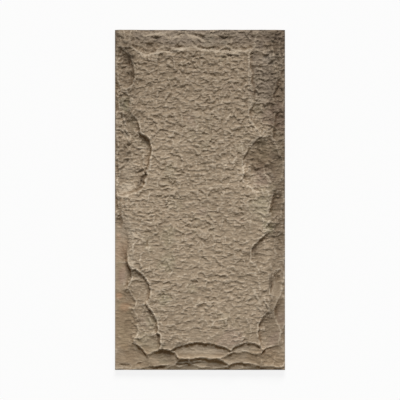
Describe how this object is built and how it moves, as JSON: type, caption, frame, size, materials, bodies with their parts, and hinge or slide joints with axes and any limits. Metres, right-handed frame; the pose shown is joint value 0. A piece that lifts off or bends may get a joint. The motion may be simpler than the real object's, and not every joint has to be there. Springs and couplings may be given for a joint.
{
  "type": "faux stone wall panel",
  "caption": "Light moulded wall panel whose face imitates split rock, with flaked ledges round its margin, square butt edges and a flat back.",
  "frame": {"origin": "centre of the flat back, on the floor that the panel lies on", "axes": "+Z out of the rock face, +Y along the length towards the picture's upper edge, +X across the width towards the picture's right edge"},
  "size_m": [0.6, 1.2, 0.0606],
  "materials": {
    "moulded_foam": "rigid polyurethane foam with a moulded rock texture, painted matt in earthy taupe with darker washes in the hollows and faint green, ochre and pink tints"
  },
  "bodies": {
    "root": {"stone_panel": "moulded_foam"}
  },
  "joints": []
}
